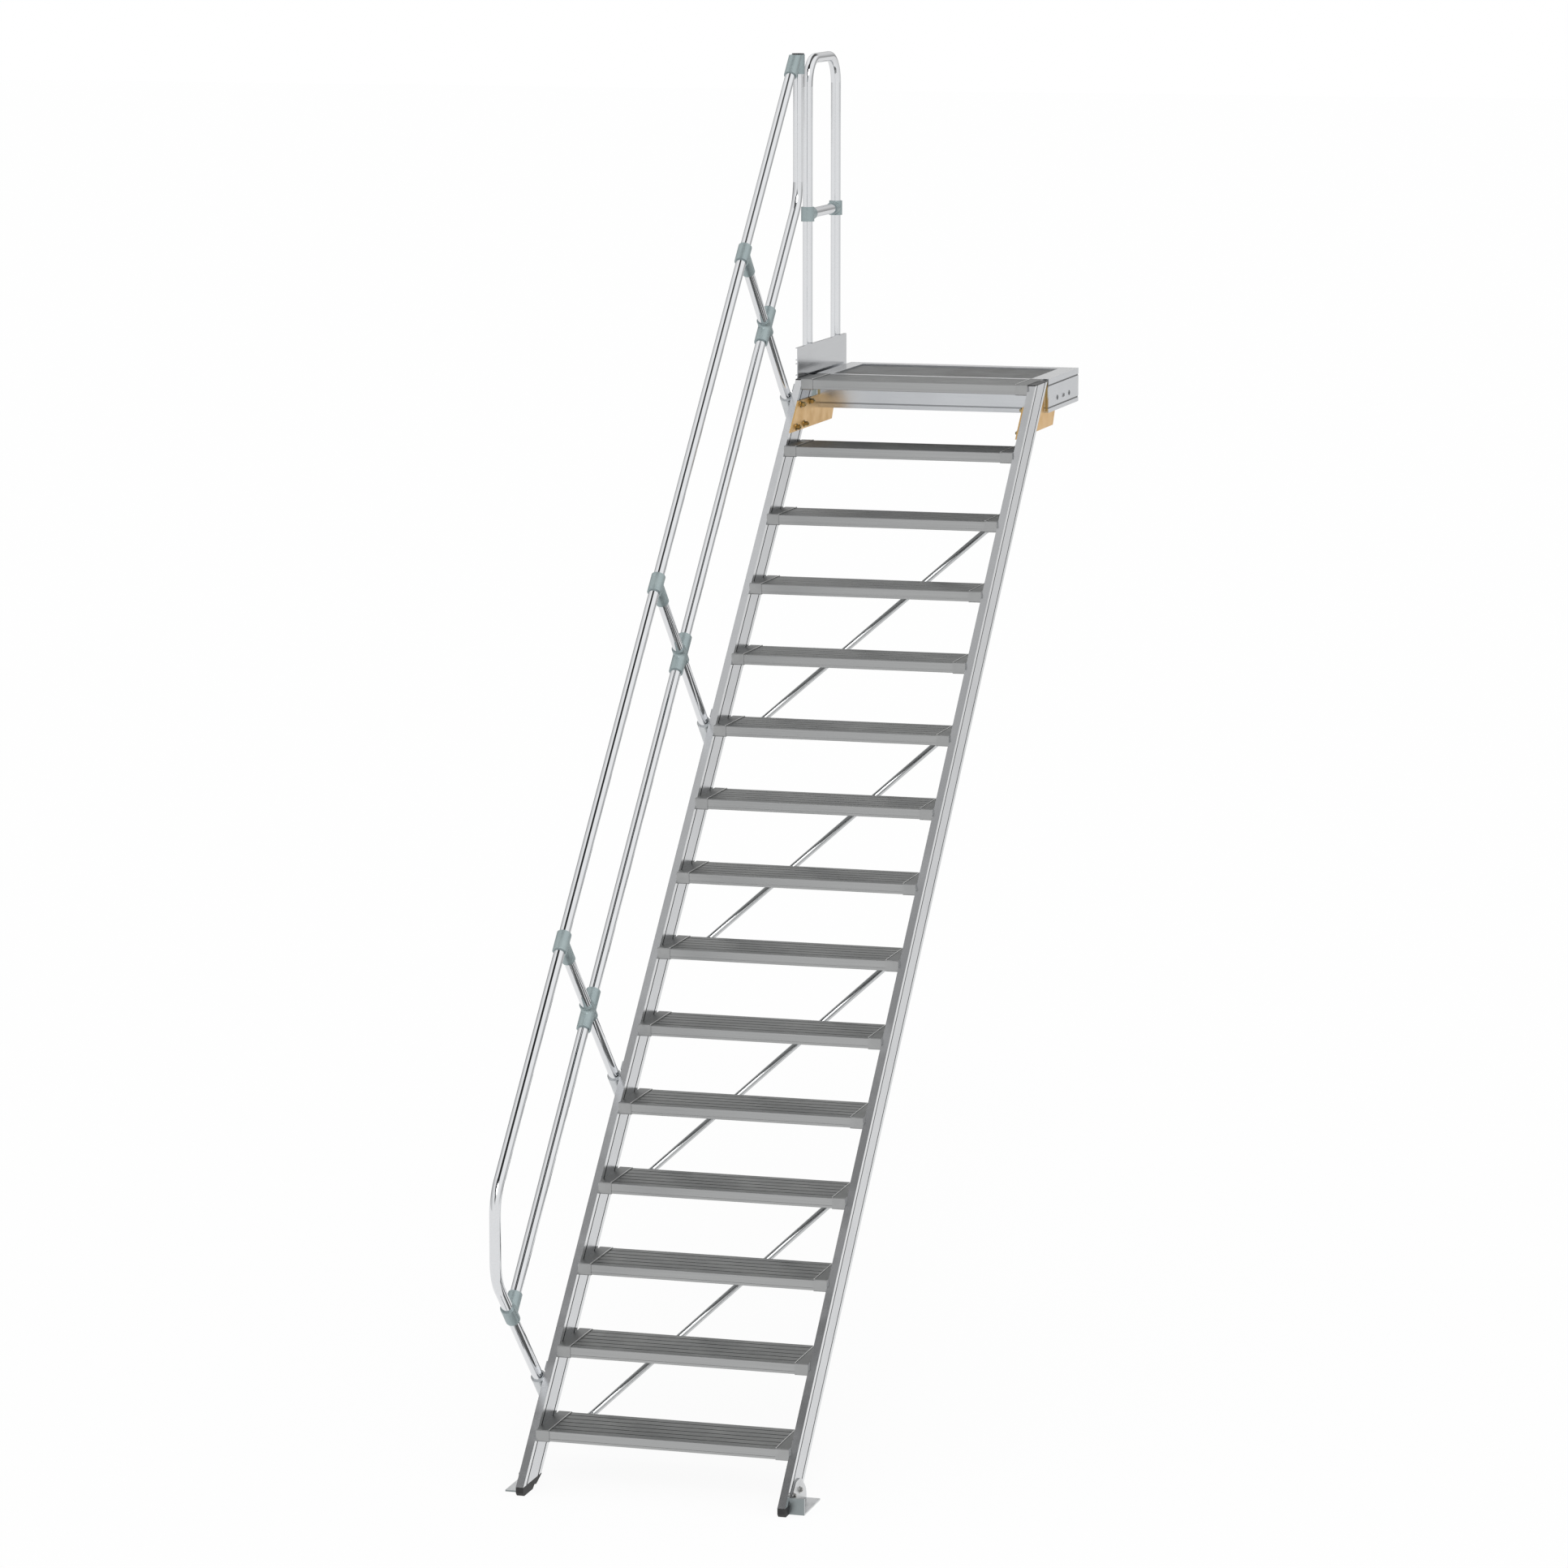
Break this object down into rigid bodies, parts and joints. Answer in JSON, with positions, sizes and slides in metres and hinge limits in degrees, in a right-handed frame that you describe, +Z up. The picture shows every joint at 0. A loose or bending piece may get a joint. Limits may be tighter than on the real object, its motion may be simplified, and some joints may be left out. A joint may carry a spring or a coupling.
{
  "type": "platform stair",
  "caption": "Straight aluminium stair with open grooved treads, a bent tube handrail on the left and a small top platform with a guard hoop.",
  "frame": {"origin": "middle of the rear face of the platform's rear channel, the face that is held to the wall", "axes": "+Z up, +Y towards the wall that carries the platform, +X to the right of a person who climbs the stair"},
  "size_m": [0.953, 3.8875, 4.223],
  "materials": {
    "mill_aluminium": "extruded, satin, with a faint grain along the length",
    "shoe_casting": "cast, matte, slightly darker than the extrusions",
    "deck_aluminium": "ribbed, dull and dark",
    "bright_tube": "drawn tube, bright and smooth",
    "cast_clamp": "die cast, matte grey with a green cast",
    "yellow_plated_steel": "yellow passivated zinc plate, satin",
    "angle_aluminium": "pressed angle, satin",
    "black_rubber": "matte moulded rubber",
    "black_plastic": "matte moulded plastic"
  },
  "bodies": {
    "root": {"left_stringer": "mill_aluminium", "right_stringer": "mill_aluminium", "platform_nosing": "mill_aluminium", "platform_left_rail": "mill_aluminium", "platform_right_rail": "mill_aluminium", "platform_front_channel": "mill_aluminium", "platform_rear_channel": "mill_aluminium", "toe_board": "mill_aluminium", "tread_01": "mill_aluminium", "tread_02": "mill_aluminium", "tread_03": "mill_aluminium", "tread_04": "mill_aluminium", "tread_05": "mill_aluminium", "tread_06": "mill_aluminium", "tread_07": "mill_aluminium", "tread_08": "mill_aluminium", "tread_09": "mill_aluminium", "tread_10": "mill_aluminium", "tread_11": "mill_aluminium", "tread_12": "mill_aluminium", "tread_13": "mill_aluminium", "tread_14": "mill_aluminium", "left_tread_shoes": "shoe_casting", "right_tread_shoes": "shoe_casting", "deck_planks": "deck_aluminium", "handrail": "bright_tube", "knee_rail": "bright_tube", "post_2": "bright_tube", "post_3": "bright_tube", "post_4": "bright_tube", "guard_hoop": "bright_tube", "guard_crossbar": "bright_tube", "strut_1": "bright_tube", "strut_2": "bright_tube", "strut_3": "bright_tube", "strut_4": "bright_tube", "handrail_tees": "cast_clamp", "knee_rail_crosses": "cast_clamp", "lower_clamp": "cast_clamp", "top_connector": "cast_clamp", "crossbar_clamps": "cast_clamp", "guard_clamps": "cast_clamp", "post_brackets": "cast_clamp", "left_connecting_plate": "yellow_plated_steel", "right_connecting_plate": "yellow_plated_steel", "left_floor_angle": "angle_aluminium", "right_floor_angle": "angle_aluminium", "left_rubber_foot": "black_rubber", "right_rubber_foot": "black_rubber", "left_stringer_cap": "black_plastic", "right_stringer_cap": "black_plastic", "top_plug": "black_plastic"}
  },
  "joints": []
}
